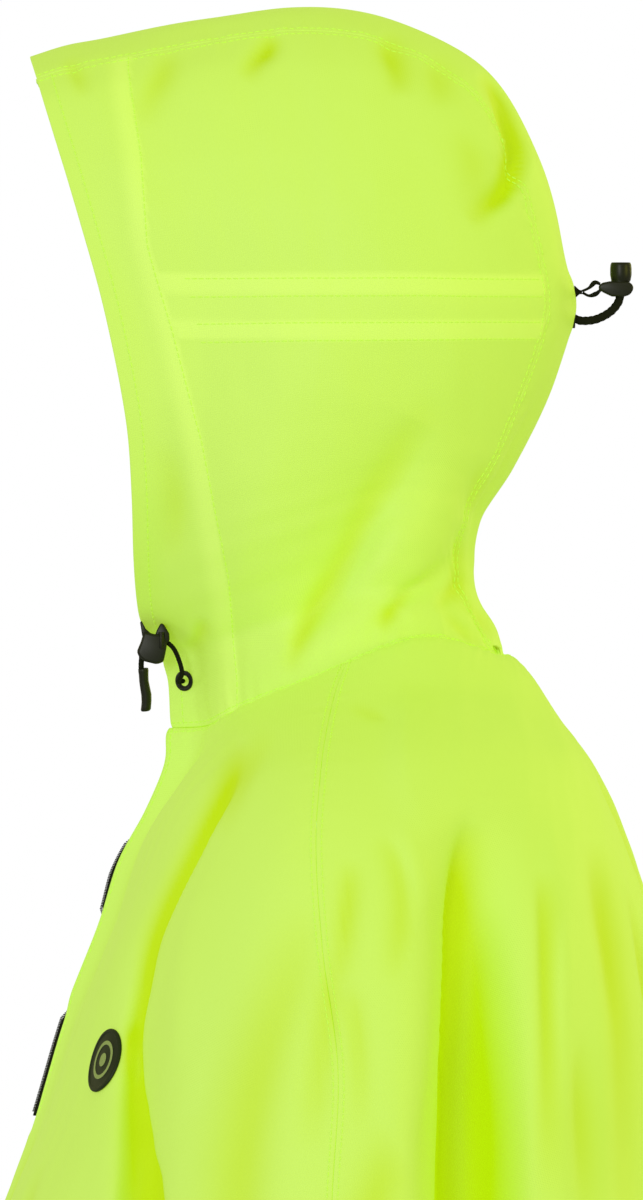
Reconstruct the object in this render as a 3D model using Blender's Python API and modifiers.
"""Hooded rain poncho in high-visibility cloth, in its worn shape, with its drawcord hardware.

Frame: +Z up, the wearer faces -Y and the wearer's left is +X. The origin is in the middle of
the neck, near the height of the shoulder end of the neck seam. Tables and sizes are in
millimetres, and MM turns them into metres where a mesh is made.

The body is lofted through rings from the neck seam to the hem, and the hood through rows that
run from the face edge to the back. Both are open surfaces that Solidify gives their wall.
"""
import math

import bpy
import bmesh
import numpy as np
from mathutils import Matrix, Vector

MM = 0.001

# Cloth
CLOTH = 1.5                 # wall of every panel
SEAM_GAP = 0.4              # between two panels at a seam
LAYER_GAP = 0.5             # between a panel and what lies on it
SLIT_HALF = 4.2             # half of the front opening that the zip fills
FACING_WIDTH = 40.0         # of the band behind the face edge
FACING_WALL = 1.0
TUNNEL_TOP = 195.5          # heights of the drawcord tunnel round the back of the head
TUNNEL_BOTTOM = 164.7

# Body rings from the neck seam down: heights at the front, side and back, how far the front and
# back reach along Y, the half width, where the shoulder seam lies along Y, the exponent of the
# ring's outline and how far the stiff zip pulls the front out into a ridge.
RING_COLUMNS = ("front_height", "side_height", "back_height", "front", "back", "half_width",
                "seam", "exponent", "ridge")
RINGS = (
    (-13.0, 11.0, 21.0, -77.3, 76.0, 86.0, 4.0, 2.0, 17.0),      # neck seam
    (-30.0, 3.0, 10.0, -82.0, 88.5, 116.0, -2.0, 2.0, 16.0),
    (-52.0, -12.0, -9.0, -91.0, 101.5, 153.0, -6.0, 2.05, 13.0),
    (-75.0, -33.0, -31.0, -102.6, 117.5, 193.0, -9.0, 2.1, 10.0),
    (-104.0, -66.0, -60.0, -111.4, 130.7, 226.0, -11.0, 2.15, 8.0),  # point of the shoulder
    (-145.0, -112.0, -100.0, -126.9, 143.0, 247.0, -8.0, 2.2, 6.0),
    (-193.0, -168.0, -158.0, -141.2, 153.0, 261.0, -1.0, 2.2, 5.0),  # lower end of the zip
    (-245.0, -232.0, -232.0, -158.0, 163.0, 274.0, -4.0, 2.2, 0.0),
    (-340.0, -335.0, -340.0, -182.0, 174.0, 297.0, -5.0, 2.2, 0.0),
    (-460.0, -460.0, -470.0, -203.0, 186.0, 318.0, -5.0, 2.15, 0.0),
    (-610.0, -610.0, -620.0, -224.0, 201.0, 346.0, -5.0, 2.1, 0.0),
    (-780.0, -775.0, -790.0, -246.0, 216.0, 377.0, -5.0, 2.05, 0.0),
    (-960.0, -945.0, -975.0, -266.0, 231.0, 410.0, -5.0, 2.0, 0.0),  # hem
)
ZIP_END_RING = 6
RIDGE_WIDTH = 10.0          # half width of the ridge that the zip makes
ROWS_PER_RING = 2
SEAM_MARGIN = 1.2           # degrees between a shoulder seam and the column next to it
# The neck seam rides up behind the shoulder: angle from the front, half width, rise, fade.
NECK_RISE = (112.0, 26.0, 12.0, 1.6)

# Folds that press the sides inwards: which hand, heights with the fold's place along Y at each,
# depth at each, and the half widths before and behind the deepest line.
LEFT, RIGHT = 1, -1
SIDE_FOLDS = (
    # chest, from the neck down in front of the arm, on the left in a narrow fold and a wide one
    (LEFT, (-20, -60, -105, -150, -230, -340, -460), (-41, -61, -81, -90, -91, -105, -120),
     (0, 7, 14.5, 20, 21, 9, 0), 11, 10),
    (LEFT, (-200, -340, -500, -960), (-91, -105, -125, -160), (0, 22, 36, 28), 28, 11),
    (RIGHT, (-20, -60, -105, -150, -230, -500, -960), (-38, -57, -74, -86, -92, -118, -150),
     (0, 10, 26, 40, 44, 38, 26), 25, 13),
    # behind the arm
    (LEFT, (-45, -80, -140, -230, -500, -960), (62, 55, 51, 50, 66, 90),
     (0, 26, 50, 58, 46, 36), 12, 30),
    (RIGHT, (-45, -80, -140, -230, -500, -960), (58, 54, 53, 54, 60, 80),
     (0, 22, 44, 52, 48, 34), 13, 32),
)
FRONT_STIFF = 25.0          # half width of the strip by the zip that no fold reaches
# Flutes of the skirt: hand, angle from the front, half width in degrees, depth at the hem and
# the height where it starts.
FLUTES = (
    (LEFT, 0, 8, 26, -330), (LEFT, 26, 9, 38, -260), (LEFT, 76, 8, 40, -330),
    (LEFT, 98, 8, 30, -420), (LEFT, 131, 9, 36, -250), (LEFT, 156, 8, 30, -300),
    (LEFT, 180, 7, 28, -240),
    (RIGHT, 0, 8, 26, -330), (RIGHT, 30, 10, 34, -280), (RIGHT, 72, 9, 38, -360),
    (RIGHT, 95, 8, 34, -400), (RIGHT, 127, 9, 32, -270), (RIGHT, 153, 8, 34, -320),
    (RIGHT, 180, 7, 28, -240),
)
SKIRT_FULLNESS = 14.0       # how far the skirt stands out between its flutes at the hem

# Hood: its middle line from the peak over the crown to the neck seam, as (Y, height).
CROWN = (
    (-142.8, 296.2), (-126.0, 301.6), (-108.0, 304.8), (-62.0, 313.3), (-22.0, 318.6),
    (18.4, 314.8), (52.9, 299.6), (75.9, 279.0), (92.5, 247.5), (103.0, 206.0), (106.3, 178.0),
    (98.0, 147.5), (79.0, 106.0), (64.5, 82.0), (61.5, 62.0), (66.0, 41.5), (76.0, 21.0),
)
CORNER_HEIGHT = 262.0       # where the crown edge of a side panel turns into its back edge
SHELL_HALF_WIDTH = 93.0     # widest half of the hood
SHELL_DEPTH = 107.0         # how far below the middle line it is widest
CENTRE_HALF_WIDTH = 42.0    # half width of the centre panel over the crown
NAPE_HALF_WIDTH = 30.0      # and at the neck seam
NAPE_START = 0.70           # share of the middle line where it begins to narrow
NAPE_BLEND = 0.93           # and where it turns onto the neck seam
# Face edge from the crown to the top of the zip: height, Y, half width.
FACE_EDGE = (
    (274.0, -135.8, 56.0), (255.3, -130.0, 68.0), (239.2, -125.0, 76.0), (218.5, -118.9, 82.0),
    (190.9, -111.0, 85.0), (167.9, -105.5, 86.0), (142.6, -100.4, 85.0), (119.6, -97.0, 81.0),
    (92.0, -95.4, 72.0), (66.0, -94.8, 56.0), (47.0, -93.6, 37.0), (35.9, -91.6, 23.0),
    (27.5, -87.0, 12.5), (22.5, -81.0, 7.6),
)
COLLAR_EDGE = ((14.0, -79.4, 6.2), (0.0, -78.0, 5.2))
TUNNEL_TOP_SHARE = 0.32     # of the way from the crown edge down to the neck seam
TUNNEL_BOTTOM_SHARE = 0.43
FACING_SHARE = 0.19         # of the way from the face edge to the back edge

# Folds pressed into the hood's sides: Y and height of both ends, depth and half width.
HOOD_FOLDS = (
    (34.0, 128.0, -20.0, 24.0, 7.0, 13.0),
    (58.0, 76.0, 28.0, 44.0, 8.0, 8.0),
    (82.0, 252.0, 62.0, 220.0, 6.0, 9.0),
)
FOLD_FADE = 0.08            # share of a panel next to its seams where a fold fades out

# Zip: how far its chain lies behind the edge of the cloth, by height. It shows where the front
# bulges.
ZIP_SETBACK = ((23, 5.5), (-24, 5.5), (-42, 2.6), (-58, 2.2), (-66, -1.8), (-96, -1.8),
               (-105, 2.4), (-138, 2.4), (-146, -1.8), (-186, -1.8))
ZIP_TOP = 10.4
ZIP_BOTTOM = -190.0
ZIP_STEPS = 26
CHAIN_HALF_WIDTH = 2.5
CHAIN_BEVEL = 0.7
CHAIN_RISE = 1.4
TAPE_MARGIN = 0.2           # of tape past the chain where the chain stands proud
TAPE_SPREAD = 0.4           # more tape for each millimetre that the chain is set back
TAPE_WALL = 1.2
SLIDER_CENTRE = (0.0, -72.4, 15.4)
SLIDER_SIZE = (7.6, 3.4, 9.0)
HINGE = (0.0, -75.8, 17.6)  # axis of the pull tab
CHEEK_OFFSET = (3.3, -75.2)
CHEEK_SIZE = (1.0, 4.4, 3.6)
PULL_SIZE = (4.8, 1.3, 24.0)
PIN_SIZE = (5.2, 1.8, 1.8)

# Badge on the left chest: fractional ring, angle from the front, radius and thickness.
BADGE_RING = 5.70
BADGE_ANGLE = 57.5
BADGE_RADIUS = 15.0
BADGE_WALL = 1.0
BADGE_GAP = 0.8             # between the panel's surface and the badge, which the curve uses up
BADGE_SIDES = 20

# Drawcords, in points chosen along each route (X, Y, Z) for the wearer's left.
FRONT_CORD_DIAMETER = 2.2
FRONT_CORD = ((23.0, -72.6, 12.0), (26.0, -73.6, 17.4), (27.6, -76.6, 24.0),
              (28.4, -81.2, 27.2), (28.6, -86.4, 26.4), (28.4, -90.4, 22.4), (28.0, -91.4, 17.4),
              (27.4, -91.3, 12.8), (26.6, -90.9, 8.0))
EYELET = (-71.3, 8.9)       # Y and height
EYELET_REACH = (1.2, 5.6)   # how far out of the cloth the cord's first two points lie
EYELET_PROFILE = ((4.7, 1.7), (4.7, 1.1), (1.9, 1.1), (1.9, 2.2), (3.4, 2.6))
FRONT_LOCK = (28.4, -87.6, 24.2)
FRONT_LOCK_SIZE = (10.0, 13.0, 11.0)
FRONT_BUTTON_OFFSET = (0.0, -1.0, 7.0)
FRONT_BUTTON_SIZE = (7.0, 7.0, 4.6)
CORD_END_TOP = (27.7, -91.4, 14.4)
CORD_END_FOOT = (24.6, -89.8, -5.0)
CORD_END_RADIUS = 2.1
CORD_END_BORE_DEPTH = 7.5
CORD_END_GAP = 0.35         # round the cord in its end
REAR_CORD_DIAMETER = 4.0
REAR_CORD = ((0.0, 107.9, 175.4), (0.0, 111.6, 174.4), (0.0, 118.0, 175.2), (0.0, 124.4, 178.6),
             (0.0, 128.2, 183.4), (0.0, 128.8, 188.4), (0.0, 128.8, 193.0))
REAR_LOCK = (0.0, 127.6, 189.4)
REAR_LOCK_SIZE = (9.0, 16.4, 8.0)
REAR_BUTTON = (0.0, 129.0, 193.8)
REAR_BUTTON_PROFILE = ((0.0, 9.6), (3.6, 9.6), (4.8, 8.6), (4.8, 4.8), (4.2, 0.0), (0.0, 0.0))
REAR_TAB = (0.0, 109.6, 187.6)
REAR_TAB_SIZE = (9.0, 2.6, 7.6)
REAR_STRANDS = (
    ((2.4, 111.4, 188.0), (2.4, 114.6, 189.6), (1.4, 117.2, 192.0), (0.9, 119.0, 191.4)),
    ((-2.4, 111.8, 186.6), (-2.4, 115.4, 186.2), (-1.4, 118.0, 187.8), (-0.9, 119.0, 188.6)),
)
STRAND_DIAMETER = 1.3
FRONT_CORD_STEP = 3.4
REAR_CORD_STEP = 4.6
STRAND_STEP = 2.4
BORE_CLEARANCE = 0.45


# ---------------------------------------------------------------- scene and materials

def clear_scene():
    for item in list(bpy.data.objects):
        bpy.data.objects.remove(item, do_unlink=True)


def collection(name):
    made = bpy.data.collections.new(name)
    bpy.context.scene.collection.children.link(made)
    return made


def material(name, colour, roughness):
    made = bpy.data.materials.new(name)
    made.use_nodes = True
    shader = made.node_tree.nodes["Principled BSDF"]
    shader.inputs["Base Color"].default_value = (*colour, 1.0)
    shader.inputs["Roughness"].default_value = roughness
    shader.inputs["Metallic"].default_value = 0.0
    return made


clear_scene()
PARTS = collection("rain_poncho")
CUTTERS = collection("cutters")
CLOTH_COLOUR = (0.60, 0.93, 0.12)
BAND_COLOUR = (0.68, 0.97, 0.16)
BLACK = (0.012, 0.013, 0.009)


def cloth(name, colour=CLOTH_COLOUR):
    return material(name, colour, 0.62)


def black_plastic(name):
    return material(name, BLACK, 0.38)


def black_cord(name):
    return material(name, BLACK, 0.8)


# ---------------------------------------------------------------- curves through tables

def through(rows, place):
    """Catmull-Rom value at a fractional row of a table whose rows are numbers of equal length."""
    rows = np.asarray(rows, float)
    last = len(rows) - 1
    place = min(max(place, 0.0), float(last))
    start = min(int(place), last - 1)
    t = place - start
    p1, p2 = rows[start], rows[start + 1]
    p0 = rows[start - 1] if start > 0 else 2 * p1 - p2
    p3 = rows[start + 2] if start + 2 <= last else 2 * p2 - p1
    return p1 + 0.5 * t * (p2 - p0 + t * (2 * p0 - 5 * p1 + 4 * p2 - p3
                                          + t * (3 * (p1 - p2) + p3 - p0)))


def crowded(count, *crowds):
    """Shares from 0 to 1 that stand closer round each crowd: its middle, half width, strength."""
    fine = np.linspace(0, 1, 400)
    weight = np.ones(400)
    for middle, width, strength in crowds:
        weight += strength * np.exp(-((fine - middle) / width) ** 2)
    reach = np.concatenate(([0.0], np.cumsum((weight[1:] + weight[:-1]) / 2)))
    return [float(s) for s in np.interp(np.linspace(0, 1, count), reach / reach[-1], fine)]


def eased(share):
    share = min(max(share, 0.0), 1.0)
    return share * share * (3 - 2 * share)


def at_height(heights, values, height):
    """Straight-line reading of a table whose heights run downwards."""
    return float(np.interp(-height, [-h for h in heights], values))


class Path:
    """A smooth line through points, read by its share of the length."""

    def __init__(self, points, samples=24):
        count = (len(points) - 1) * samples
        self.points = np.array([through(points, i / samples) for i in range(count + 1)])
        steps = np.linalg.norm(np.diff(self.points, axis=0), axis=1)
        self.lengths = np.concatenate(([0.0], np.cumsum(steps)))
        self.total = float(self.lengths[-1])

    def at(self, share):
        place = min(max(share, 0.0), 1.0) * self.total
        return np.array([np.interp(place, self.lengths, axis) for axis in self.points.T])

    def share_where(self, column, value, start=0.0):
        """First share after start where a falling column reaches a value."""
        shares = self.lengths / self.total
        for share, reading in zip(shares, self.points[:, column]):
            if share >= start and reading <= value:
                return float(share)
        return 1.0


# ---------------------------------------------------------------- the body's surface

# Columns of the body's grid, from the zip to the shoulder seam and from there to the back.
FRONT_SHARES = crowded(18, (0.0, 0.07, 1.5), (0.70, 0.10, 2.0))
BACK_SHARES = crowded(18, (0.15, 0.09, 2.4))


def ring_at(place):
    return dict(zip(RING_COLUMNS, through(RINGS, place)))


def body_outline(place, angle):
    """Point of the plain ring at an angle from the front, before its folds."""
    ring = ring_at(place)
    turn = math.radians(angle)
    across, along = math.sin(turn), math.cos(turn)
    front = ring["front"] + ring["ridge"]
    depth = ring["seam"] - front if along >= 0 else ring["back"] - ring["seam"]
    power = ring["exponent"]
    radius = (abs(across / ring["half_width"]) ** power + abs(along / depth) ** power) ** (-1 / power)
    x = radius * across
    y = ring["seam"] - radius * along
    y -= ring["ridge"] * math.exp(-(x / RIDGE_WIDTH) ** 2) * (along > 0)
    ends = (ring["front_height"] + ring["back_height"]) / 2
    z = ((ends + ring["side_height"]) / 2
         + (ring["front_height"] - ring["back_height"]) / 2 * along
         + (ends - ring["side_height"]) / 2 * math.cos(2 * turn))
    rise_angle, rise_width, rise, fade = NECK_RISE
    z += rise * math.exp(-((angle - rise_angle) / rise_width) ** 2) * (1 - eased(place / fade))
    return x, y, z


def body_point(place, angle, hand):
    """Point of the outer surface: place is a fractional ring, angle runs from front to back."""
    x, y, z = body_outline(place, angle)
    for side, heights, places, depths, before, behind in SIDE_FOLDS:
        if side == hand and z < heights[0]:
            off = y - at_height(heights, places, z)
            width = behind if off > 0 else before
            free = eased((x - FRONT_STIFF) / FRONT_STIFF)
            x -= at_height(heights, depths, z) * math.exp(-(off / width) ** 2) * free
    hem = RINGS[-1][0]
    turn = math.radians(angle)
    push = 0.0
    for side, centre, width, depth, start in FLUTES:
        if side == hand and z < start:
            share = (z - start) / (hem - start)
            push -= depth * share * math.exp(-((angle - centre) / width) ** 2)
    if z < -300.0:
        push += SKIRT_FULLNESS * (z + 300.0) / (hem + 300.0)
    x += push * math.sin(turn)
    y -= push * math.cos(turn)
    return Vector((hand * x, y, z))


def angle_at_width(place, width):
    """Angle from the front where the plain ring is a given half width."""
    low, high = 0.0, 60.0
    for _ in range(40):
        middle = (low + high) / 2
        if body_outline(place, middle)[0] < width:
            low = middle
        else:
            high = middle
    return low


def front_columns(place):
    """Angles from the zip's edge to the shoulder seam, closest at the ridge and chest fold."""
    first = angle_at_width(place, SLIT_HALF)
    angles = [first + (90.0 - first) * share for share in FRONT_SHARES]
    return angles[:-1] + [90.0 - SEAM_MARGIN, 90.0 - half_gap_angle(place)]


def half_gap_angle(place):
    """Angle that half a seam gap takes up on the shoulder seam."""
    return math.degrees(SEAM_GAP / 2 / ring_at(place)["half_width"])


def back_columns(place):
    """Angles from the shoulder seam to the middle of the back, closest behind the arm."""
    angles = [90.0 + 90.0 * share for share in BACK_SHARES]
    return [90.0 + half_gap_angle(place), 90.0 + SEAM_MARGIN] + angles[1:]


# ---------------------------------------------------------------- mesh makers

def link(name, mesh, paint, smooth=True):
    item = bpy.data.objects.new(name, mesh)
    PARTS.objects.link(item)
    item.data.materials.append(paint)
    if smooth:
        item.data.shade_smooth()
    return item


def grid_mesh(name, rows, skip=None, wrap=False):
    """Mesh of a grid of points in millimetres; skip(row, column) leaves a cell open."""
    mesh = bpy.data.meshes.new(name)
    shape = bmesh.new()
    made = [[shape.verts.new(point * MM) for point in row] for row in rows]
    across = len(rows[0])
    for i in range(len(rows) - 1):
        for j in range(across if wrap else across - 1):
            if skip and skip(i, j):
                continue
            k = (j + 1) % across
            shape.faces.new((made[i][j], made[i + 1][j], made[i + 1][k], made[i][k]))
    shape.to_mesh(mesh)
    shape.free()
    return mesh


def add_wall(item, thickness):
    """Solidify inwards from the outer surface, which the mesh's normals face."""
    wall = item.modifiers.new("wall", "SOLIDIFY")
    wall.thickness = thickness * MM
    wall.offset = -1.0
    wall.use_even_offset = False
    wall.use_quality_normals = True
    return item


def apply_modifiers(item):
    evaluated = item.evaluated_get(bpy.context.evaluated_depsgraph_get())
    mesh = bpy.data.meshes.new_from_object(evaluated)
    item.modifiers.clear()
    item.data = mesh
    return item


def tube(name, points, diameter, paint, step, resolution=2):
    """Round cord along a smooth route, with a ring of points at each step of its length."""
    path = Path(points)
    count = max(3, int(path.total / step) + 1)
    curve = bpy.data.curves.new(name, "CURVE")
    curve.dimensions = "3D"
    curve.bevel_depth = diameter / 2 * MM
    curve.bevel_resolution = resolution
    curve.use_fill_caps = True
    spline = curve.splines.new("POLY")
    spline.points.add(count - 1)
    for i in range(count):
        spline.points[i].co = (*(path.at(i / (count - 1)) * MM), 1.0)
    item = bpy.data.objects.new(name, curve)
    PARTS.objects.link(item)
    curve.materials.append(paint)
    return item


def cutter_along(points, diameter, step):
    """Closed mesh tube that cuts a bore along a cord's route, in the cord's own steps."""
    guide = tube("route", points, diameter + 2 * BORE_CLEARANCE, BORE_PAINT, step, resolution=3)
    bpy.context.view_layer.update()
    mesh = bpy.data.meshes.new_from_object(
        guide.evaluated_get(bpy.context.evaluated_depsgraph_get()))
    shape = bmesh.new()
    shape.from_mesh(mesh)
    bmesh.ops.remove_doubles(shape, verts=shape.verts, dist=1e-6)
    shape.to_mesh(mesh)
    shape.free()
    cutter = bpy.data.objects.new("bore_cutter", mesh)
    cutter.matrix_world = guide.matrix_world
    bpy.data.objects.remove(guide, do_unlink=True)
    CUTTERS.objects.link(cutter)
    cutter.hide_render = True
    cutter.display_type = "WIRE"
    return cutter


def cut(item, cutter):
    bore = item.modifiers.new("bore", "BOOLEAN")
    bore.operation = "DIFFERENCE"
    bore.solver = "EXACT"
    bore.object = cutter


def rounded_block(name, centre, size, radius, paint):
    """Box with rounded edges."""
    bpy.ops.mesh.primitive_cube_add(size=1.0)
    item = bpy.context.object
    item.name = name
    item.data.transform(Matrix.Diagonal((*[side * MM for side in size], 1.0)))
    item.location = Vector(centre) * MM
    own(item, paint)
    edges = item.modifiers.new("edges", "BEVEL")
    edges.width = radius * MM
    edges.segments = 2
    return item


def own(item, paint):
    for home in list(item.users_collection):
        home.objects.unlink(item)
    PARTS.objects.link(item)
    item.data.materials.append(paint)


def turned(name, profile, centre, axis, paint, steps):
    """Solid or ring turned from (radius, height) rows, its axis along a direction."""
    mesh = bpy.data.meshes.new(name)
    shape = bmesh.new()
    verts = [shape.verts.new((radius * MM, 0.0, height * MM)) for radius, height in profile]
    closed = profile[0][0] > 0.0
    for i in range(len(verts) - 1):
        shape.edges.new((verts[i], verts[i + 1]))
    if closed:
        shape.edges.new((verts[-1], verts[0]))
    shape.to_mesh(mesh)
    shape.free()
    item = link(name, mesh, paint)
    item.location = Vector(centre) * MM
    item.rotation_euler = Vector(axis).to_track_quat("Z", "Y").to_euler()
    screw = item.modifiers.new("turn", "SCREW")
    screw.steps = steps
    screw.render_steps = steps
    screw.use_merge_vertices = True
    screw.merge_threshold = 0.00001
    return item


# ---------------------------------------------------------------- body panels

def body_rows():
    count = (len(RINGS) - 1) * ROWS_PER_RING
    return [i / ROWS_PER_RING for i in range(count + 1)]


def body_front():
    rows = []
    for place in body_rows():
        angles = front_columns(place)
        left = [body_point(place, angle, LEFT) for angle in angles]
        right = [body_point(place, angle, RIGHT) for angle in angles]
        rows.append(list(reversed(right)) + left)
    slit = len(front_columns(0)) - 1
    last = ZIP_END_RING * ROWS_PER_RING
    mesh = grid_mesh("body_front", rows, skip=lambda i, j: j == slit and i < last)
    return add_wall(link("body_front", mesh, cloth("front_cloth")), CLOTH)


def body_back():
    rows = []
    for place in body_rows():
        angles = back_columns(place)
        left = [body_point(place, angle, LEFT) for angle in angles]
        right = [body_point(place, angle, RIGHT) for angle in angles]
        rows.append(left + list(reversed(right))[1:])
    mesh = grid_mesh("body_back", rows)
    return add_wall(link("body_back", mesh, cloth("back_cloth")), CLOTH)


# ---------------------------------------------------------------- the hood's surface

CROWN_PATH = Path(CROWN)
CORNER_SHARE = CROWN_PATH.share_where(1, CORNER_HEIGHT, start=0.3)


def shell_half_width(depth):
    share = 1 - min(max(depth, 0.0) / SHELL_DEPTH, 1.0)
    return SHELL_HALF_WIDTH * math.sqrt(1 - share * share)


def shell_drop(width):
    return SHELL_DEPTH * (1 - math.sqrt(1 - (width / SHELL_HALF_WIDTH) ** 2))


def depth_below_crown(y, z):
    return float(np.min(np.hypot(CROWN_PATH.points[:, 0] - y, CROWN_PATH.points[:, 1] - z)))


def crown_frame(share):
    """Point of the middle line and its outward direction, in the YZ plane."""
    point = CROWN_PATH.at(share)
    ahead = CROWN_PATH.at(min(share + 0.004, 1.0)) - CROWN_PATH.at(max(share - 0.004, 0.0))
    ahead /= np.linalg.norm(ahead)
    return point, np.array((-ahead[1], ahead[0]))


def centre_half_width(share):
    narrow = eased((share - NAPE_START) / (1 - NAPE_START))
    return CENTRE_HALF_WIDTH + (NAPE_HALF_WIDTH - CENTRE_HALF_WIDTH) * narrow


def neck_angle_at(width):
    """Angle from the front where the neck seam behind the head has a half width."""
    low, high = 120.0, 180.0
    for _ in range(40):
        middle = (low + high) / 2
        if body_outline(0, middle)[0] > width:
            low = middle
        else:
            high = middle
    return low


def centre_point(share, width):
    """Point of the centre panel: share along the middle line, width across it."""
    point, out = crown_frame(share)
    y, z = point - out * shell_drop(abs(width))
    blend = eased((share - NAPE_BLEND) / (1 - NAPE_BLEND))
    if blend > 0:
        seam = body_outline(0, neck_angle_at(abs(width)))
        y += (seam[1] - y) * blend
        z += (seam[2] + SEAM_GAP - z) * blend
    return Vector((width, y, z))


def crown_seam(share):
    return np.array(centre_point(share, centre_half_width(share)))


def side_edges():
    """The four edges of a side panel as paths of (X, Y, Z), from the face edge and the crown."""
    top = Path([crown_seam(s) for s in np.linspace(0, CORNER_SHARE, 12)], 6)
    back = Path([crown_seam(s) for s in np.linspace(CORNER_SHARE, 1, 26)], 6)
    angles = np.linspace(angle_at_width(0, SLIT_HALF), neck_angle_at(NAPE_HALF_WIDTH), 40)
    neck = [np.array(body_outline(0, angle)) + (0, 0, SEAM_GAP) for angle in angles]
    face = [crown_seam(0.0)]
    face += [np.array((width, y, z)) for z, y, width in FACE_EDGE + COLLAR_EDGE]
    face.append(neck[0])
    return top, back, Path(face, 8), Path(neck, 4)


TOP_EDGE, BACK_EDGE, FACE_PATH, NECK_EDGE = side_edges()
FACE_TUNNEL = [FACE_PATH.share_where(2, h) for h in (TUNNEL_TOP, TUNNEL_BOTTOM)]
BACK_TUNNEL = [BACK_EDGE.share_where(2, h) for h in (TUNNEL_TOP, TUNNEL_BOTTOM)]
KEY_ROWS = (0.0, TUNNEL_TOP_SHARE, TUNNEL_BOTTOM_SHARE, 1.0)


def key_share(v, tunnel):
    """Share along a side edge for a row, so that the tunnel's rows meet it at their heights."""
    return float(np.interp(v, KEY_ROWS, (0.0, tunnel[0], tunnel[1], 1.0)))


def row_share(u, length):
    """Share along a row, whose first FACING_SHARE of the columns cover the facing's width."""
    facing = FACING_WIDTH / length
    return float(np.interp(u, (0.0, FACING_SHARE, 1.0), (0.0, facing, 1.0)))


def tunnel_line(face_share, back_share, u):
    start, end = FACE_PATH.at(face_share), BACK_EDGE.at(back_share)
    length = abs(end[1] - start[1])
    return start + (end - start) * row_share(u, length)


def key_points(u):
    return (TOP_EDGE.at(row_share(u, TOP_EDGE.total)),
            tunnel_line(FACE_TUNNEL[0], BACK_TUNNEL[0], u),
            tunnel_line(FACE_TUNNEL[1], BACK_TUNNEL[1], u),
            NECK_EDGE.at(row_share(u, NECK_EDGE.total)))


def between_keys(points, v):
    return np.array([np.interp(v, KEY_ROWS, axis) for axis in np.array(points).T])


def width_ratio(point):
    return point[0] / max(shell_half_width(depth_below_crown(point[1], point[2])), 1.0)


def hood_fold_depth(y, z):
    total = 0.0
    for y0, z0, y1, z1, depth, width in HOOD_FOLDS:
        run = np.array((y1 - y0, z1 - z0))
        share = float(np.dot((y - y0, z - z0), run) / np.dot(run, run))
        inside = min(max(share, 0.0), 1.0)
        off = math.hypot(y - y0 - run[0] * inside, z - z0 - run[1] * inside)
        total += depth * math.exp(-(off / width) ** 2) * math.sin(math.pi * inside) ** 0.7
    return total


def side_point(u, v, hand):
    """Point of a side panel: u from the face edge to the back, v from the crown to the neck."""
    face = FACE_PATH.at(key_share(v, FACE_TUNNEL))
    back = BACK_EDGE.at(key_share(v, BACK_TUNNEL))
    plain = between_keys(key_points(u), v)
    plain += (1 - u) * (face - between_keys(key_points(0.0), v))
    plain += u * (back - between_keys(key_points(1.0), v))
    y, z = plain[1], plain[2]
    top, neck = key_points(u)[0], key_points(u)[3]
    corners = [width_ratio(p) for p in (FACE_PATH.at(0), BACK_EDGE.at(0), FACE_PATH.at(1),
                                        BACK_EDGE.at(1))]
    ratio = ((1 - u) * width_ratio(face) + u * width_ratio(back)
             + (1 - v) * width_ratio(top) + v * width_ratio(neck)
             - (1 - u) * (1 - v) * corners[0] - u * (1 - v) * corners[1]
             - (1 - u) * v * corners[2] - u * v * corners[3])
    x = shell_half_width(depth_below_crown(y, z)) * ratio
    edge = min(u, 1 - u, v, 1 - v)
    x -= hood_fold_depth(y, z) * eased(edge / FOLD_FADE)
    return Vector((hand * x, y, z))


def on_side(y, z, hand):
    """Point of a side panel that the profile view shows at (y, z), and its outward direction."""
    u, v, step = 0.3, 0.5, 1e-3
    for _ in range(30):
        here = side_point(u, v, hand)
        by_u = (side_point(u + step, v, hand) - here) / step
        by_v = (side_point(u, v + step, hand) - here) / step
        miss_y, miss_z = y - here.y, z - here.z
        area = by_u.y * by_v.z - by_v.y * by_u.z
        u += (miss_y * by_v.z - miss_z * by_v.y) / area * 0.8
        v += (by_u.y * miss_z - by_u.z * miss_y) / area * 0.8
        u, v = min(max(u, 0.001), 0.995), min(max(v, 0.001), 0.995)
    normal = by_u.cross(by_v).normalized()
    if normal.x * hand < 0:
        normal.negate()
    return here, normal


SIDE_COLUMNS = [0.0, 0.065, 0.13, FACING_SHARE] + list(np.linspace(FACING_SHARE, 1, 14))[1:]
SIDE_ROWS = (list(np.linspace(0, TUNNEL_TOP_SHARE, 7)) + [0.375]
             + [TUNNEL_BOTTOM_SHARE + (1 - TUNNEL_BOTTOM_SHARE) * share
                for share in crowded(14, (0.72, 0.12, 1.2))])


def side_grid(hand):
    return [[side_point(u, v, hand) for u in SIDE_COLUMNS] for v in SIDE_ROWS]


def oriented(rows, hand):
    """The same grid with its faces turned outwards on the wearer's right."""
    return rows if hand == LEFT else [list(reversed(row)) for row in rows]


def hood_sides():
    for hand, side in ((LEFT, "left"), (RIGHT, "right")):
        rows = side_grid(hand)
        mesh = grid_mesh("hood_side_" + side, oriented(rows, hand))
        add_wall(link("hood_side_" + side, mesh, cloth("side_cloth_" + side)), CLOTH)
        facing(rows, hand, side)
        tunnel(rows, hand, side)


def inward(rows, i, j, amount):
    """A grid point moved in from the surface by an amount, along the grid's normal."""
    near_i, far_i = max(i - 1, 0), min(i + 1, len(rows) - 1)
    near_j, far_j = max(j - 1, 0), min(j + 1, len(rows[0]) - 1)
    normal = (rows[far_i][j] - rows[near_i][j]).cross(rows[i][far_j] - rows[i][near_j])
    normal.normalize()
    if normal.x * rows[i][j].x < 0:
        normal.negate()
    return rows[i][j] - normal * amount


def layer(rows, hand, row_range, column_range):
    inset = [[inward(rows, i, j, CLOTH + LAYER_GAP) for j in column_range] for i in row_range]
    return oriented(inset, hand)


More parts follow.
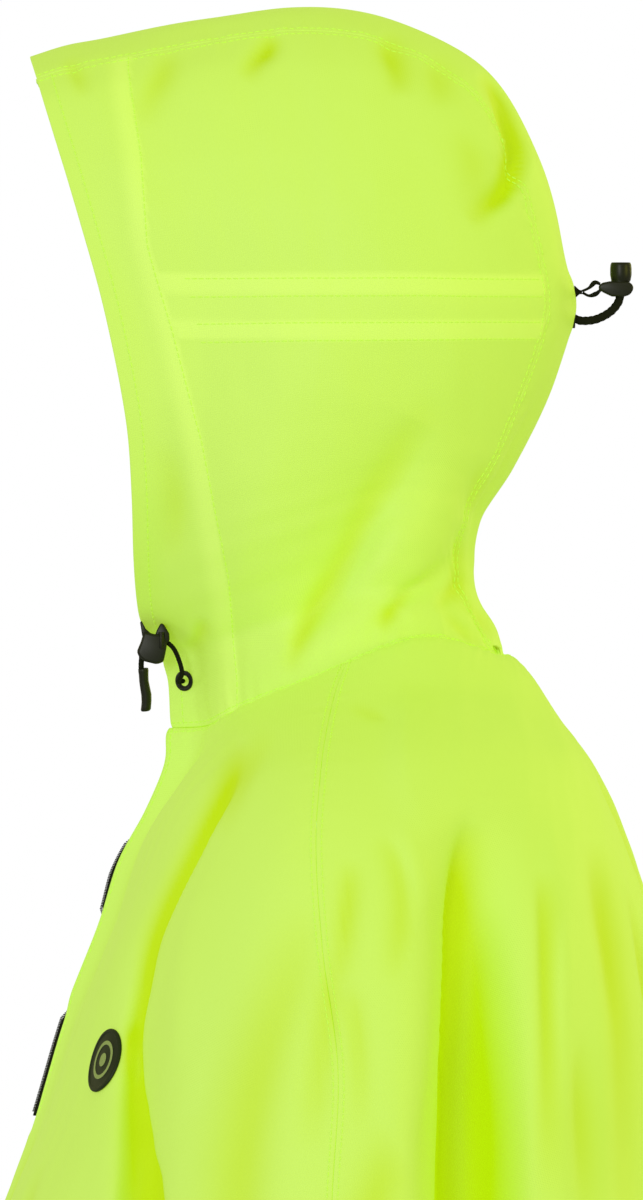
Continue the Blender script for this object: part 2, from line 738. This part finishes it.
def facing(rows, hand, side):
    columns = range(0, SIDE_COLUMNS.index(FACING_SHARE) + 1)
    mesh = grid_mesh("hood_facing_" + side, layer(rows, hand, range(1, len(rows) - 3), columns))
    add_wall(link("hood_facing_" + side, mesh, cloth("facing_cloth_" + side, BAND_COLOUR)),
             FACING_WALL)


def tunnel(rows, hand, side):
    first = SIDE_COLUMNS.index(FACING_SHARE)
    top = SIDE_ROWS.index(TUNNEL_TOP_SHARE)
    bottom = SIDE_ROWS.index(TUNNEL_BOTTOM_SHARE)
    columns = range(first + 1, len(SIDE_COLUMNS))
    mesh = grid_mesh("hood_tunnel_" + side, layer(rows, hand, range(top, bottom + 1), columns))
    add_wall(link("hood_tunnel_" + side, mesh, cloth("tunnel_cloth_" + side, BAND_COLOUR)),
             FACING_WALL)


def hood_centre():
    shares = crowded(34, (0.90, 0.06, 1.6), (0.0, 0.03, 1.0))
    across = np.linspace(-1, 1, 7)
    rows = []
    for share in shares:
        half = centre_half_width(share) - SEAM_GAP
        rows.append([centre_point(share, half * a) for a in across])
    mesh = grid_mesh("hood_centre", rows)
    return add_wall(link("hood_centre", mesh, cloth("centre_cloth")), CLOTH)


# ---------------------------------------------------------------- zip

def front_line(height):
    """Y of the cloth's front edge beside the zip at a height, on the collar and the body."""
    points = [(z, y) for z, y, _ in COLLAR_EDGE]
    points += [(body_outline(p, angle_at_width(p, SLIT_HALF))[2],
                body_outline(p, angle_at_width(p, SLIT_HALF))[1])
               for p in np.linspace(0, ZIP_END_RING, 25)]
    points.sort()
    return float(np.interp(height, [p[0] for p in points], [p[1] for p in points]))


def zip_section(height):
    """Outline of the tape with the chain standing on it, at one height."""
    setback = at_height([h for h, _ in ZIP_SETBACK], [s for _, s in ZIP_SETBACK], height)
    chain = front_line(height) + setback
    tape = chain + CHAIN_RISE
    back = tape + TAPE_WALL
    half = CHAIN_HALF_WIDTH + TAPE_MARGIN + TAPE_SPREAD * max(0.0, setback)
    face = CHAIN_HALF_WIDTH - CHAIN_BEVEL
    return [Vector((x, y, height)) for x, y in (
        (-half, tape), (-CHAIN_HALF_WIDTH, tape), (-face, chain), (face, chain),
        (CHAIN_HALF_WIDTH, tape), (half, tape), (half, back), (-half, back))]


def front_zip():
    heights = np.linspace(ZIP_TOP, ZIP_BOTTOM, ZIP_STEPS)
    rows = [zip_section(float(h)) for h in heights]
    mesh = grid_mesh("front_zip", rows, wrap=True)
    shape = bmesh.new()
    shape.from_mesh(mesh)
    bmesh.ops.holes_fill(shape, edges=[e for e in shape.edges if e.is_boundary])
    bmesh.ops.recalc_face_normals(shape, faces=shape.faces)
    shape.to_mesh(mesh)
    shape.free()
    link("front_zip", mesh, material("zip_tape", BLACK, 0.7), smooth=False)


def zip_slider():
    """Slider body with two cheeks that hold the pull tab's pin."""
    paint = black_plastic("slider_enamel")
    base = rounded_block("zip_slider", SLIDER_CENTRE, SLIDER_SIZE, 0.7, paint)
    x, y = CHEEK_OFFSET
    for hand in (RIGHT, LEFT):
        join(base, rounded_block("cheek", (hand * x, y, HINGE[2]), CHEEK_SIZE, 0.2, paint))


def join(item, other):
    """Boolean union of two solids, applied."""
    union = item.modifiers.new("join", "BOOLEAN")
    union.operation = "UNION"
    union.solver = "EXACT"
    union.object = other
    bpy.context.view_layer.update()
    apply_modifiers(item)
    bpy.data.objects.remove(other, do_unlink=True)


def zip_pull():
    """Pull tab that hangs from its pin, with its origin on the hinge axis."""
    paint = black_plastic("pull_enamel")
    centre = (HINGE[0], HINGE[1], HINGE[2] - PULL_SIZE[2] / 2)
    tab = rounded_block("zip_pull", centre, PULL_SIZE, 0.4, paint)
    join(tab, rounded_block("pin", HINGE, PIN_SIZE, 0.5, paint))
    move_origin(tab, Vector(HINGE) * MM)


def move_origin(item, place):
    item.data.transform(Matrix.Translation(item.location - place))
    item.location = place


# ---------------------------------------------------------------- badge

def badge_grid():
    """Rings of points of the badge's face, round a centre on the panel, and its normal."""
    ring_step, angle_step = 0.05, 0.5
    centre = body_point(BADGE_RING, BADGE_ANGLE, LEFT)
    along = body_point(BADGE_RING + ring_step, BADGE_ANGLE, LEFT) - centre
    across = body_point(BADGE_RING, BADGE_ANGLE + angle_step, LEFT) - centre
    normal = across.cross(along).normalized()
    if normal.y > 0:
        normal.negate()
    down = along - normal * along.dot(normal)
    side = across - down * (across.dot(down) / down.length_squared)
    rings_each = ring_step / down.length
    angle_each = angle_step / side.length
    slant = across.dot(down) / down.length * angle_each
    rows = []
    for share in (0.2, 0.6, 1.0):
        row = []
        for step in range(BADGE_SIDES):
            turn = 2 * math.pi * step / BADGE_SIDES
            a = BADGE_RADIUS * share * math.cos(turn)
            b = BADGE_RADIUS * share * math.sin(turn)
            point = body_point(BADGE_RING + (b - a * slant) * rings_each,
                               BADGE_ANGLE + a * angle_each, LEFT)
            row.append(point + normal * (BADGE_GAP + BADGE_WALL))
        rows.append(row)
    return rows, centre, normal


def badge():
    """Plain disc that follows the chest panel a little way out from it."""
    rows, centre, normal = badge_grid()
    mesh = grid_mesh("badge", rows, wrap=True)
    shape = bmesh.new()
    shape.from_mesh(mesh)
    inner = [edge for edge in shape.edges if edge.is_boundary
             and max((vert.co / MM - centre).length for vert in edge.verts) < BADGE_RADIUS / 2]
    bmesh.ops.holes_fill(shape, edges=inner)
    bmesh.ops.recalc_face_normals(shape, faces=shape.faces)
    shape.faces.ensure_lookup_table()
    if shape.faces[0].normal.dot(normal) < 0:
        bmesh.ops.reverse_faces(shape, faces=shape.faces)
    shape.to_mesh(mesh)
    shape.free()
    add_wall(link("badge", mesh, material("badge_rubber", (0.02, 0.024, 0.012), 0.5)), BADGE_WALL)


# ---------------------------------------------------------------- drawcord hardware

def mirrored(point, hand):
    return Vector((hand * point[0], point[1], point[2]))


def front_hardware(hand, side):
    seat, outward = on_side(*EYELET, hand)
    turned("eyelet_" + side, EYELET_PROFILE, seat, outward, black_plastic("eyelet_" + side), 18)
    route = [seat + outward * reach for reach in EYELET_REACH]
    route += [mirrored(point, hand) for point in FRONT_CORD]
    tube("front_cord_" + side, route, FRONT_CORD_DIAMETER, black_cord("elastic_" + side),
         FRONT_CORD_STEP)
    centre = mirrored(FRONT_LOCK, hand)
    lock = rounded_block("front_lock_" + side, centre, FRONT_LOCK_SIZE, 2.4,
                         black_plastic("lock_" + side))
    join(lock, rounded_block("button", centre + Vector(FRONT_BUTTON_OFFSET), FRONT_BUTTON_SIZE,
                             1.2, BORE_PAINT))
    cut(lock, cutter_along(route, FRONT_CORD_DIAMETER, FRONT_CORD_STEP))
    cord_end(hand, side)


def cord_end(hand, side):
    """Tube on the end of the cord, bored from its top."""
    top, foot = mirrored(CORD_END_TOP, hand), mirrored(CORD_END_FOOT, hand)
    length = (top - foot).length
    bore = FRONT_CORD_DIAMETER / 2 + CORD_END_GAP
    floor = length - CORD_END_BORE_DEPTH
    profile = ((0.0, floor), (bore, floor), (bore, length), (CORD_END_RADIUS, length),
               (CORD_END_RADIUS, 0.8), (CORD_END_RADIUS * 0.75, 0.0), (0.0, 0.0))
    turned("cord_end_" + side, profile, foot, top - foot, black_plastic("cord_end_" + side), 12)


def rear_hardware():
    lock = rounded_block("rear_lock", REAR_LOCK, REAR_LOCK_SIZE, 1.8, black_plastic("rear_lock"))
    cut(lock, cutter_along(REAR_CORD, REAR_CORD_DIAMETER, REAR_CORD_STEP))
    turned("rear_button", REAR_BUTTON_PROFILE, REAR_BUTTON, (0.0, 0.0, 1.0),
           black_plastic("rear_button"), 16)
    tube("rear_cord", REAR_CORD, REAR_CORD_DIAMETER, black_cord("rear_elastic"), REAR_CORD_STEP)
    for number, route in enumerate(REAR_STRANDS, 1):
        tube("rear_strand_%d" % number, route, STRAND_DIAMETER, black_cord("strand_%d" % number),
             STRAND_STEP)
    rounded_block("rear_tab", REAR_TAB, REAR_TAB_SIZE, 0.6, black_cord("rear_tab"))


BORE_PAINT = black_plastic("bore")


def build():
    body_front()
    body_back()
    hood_centre()
    hood_sides()
    front_zip()
    zip_slider()
    zip_pull()
    badge()
    for hand, side in ((LEFT, "left"), (RIGHT, "right")):
        front_hardware(hand, side)
    rear_hardware()


build()
